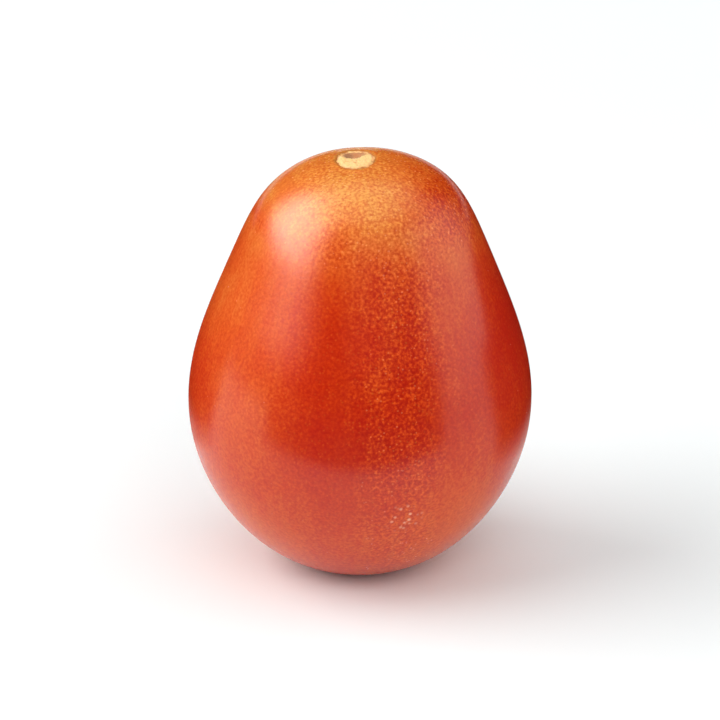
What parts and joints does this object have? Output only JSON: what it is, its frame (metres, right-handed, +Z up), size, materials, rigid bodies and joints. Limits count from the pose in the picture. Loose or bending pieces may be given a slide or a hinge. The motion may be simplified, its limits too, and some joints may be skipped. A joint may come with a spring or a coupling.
{
  "type": "tomato",
  "caption": "Ripe red mini plum tomato with no stalk, pear-shaped, standing on its wide blossom end, with a corky stem scar on its narrow golden-tinged top.",
  "frame": {"origin": "on the surface it rests on, under the middle of the fruit's bounding box", "axes": "+Z up along the fruit's axis from the blossom end to the stem end, -Y towards the side that the picture shows"},
  "size_m": [0.0264, 0.026, 0.0331],
  "materials": {
    "skin": "Smooth, thin, waxy fruit skin, semi-gloss and slightly translucent: deep red on the belly, orange on the left flank, golden yellow below the stem scar, with fine golden flecks and a pale corky scar."
  },
  "bodies": {
    "root": {"fruit": "skin"}
  },
  "joints": []
}
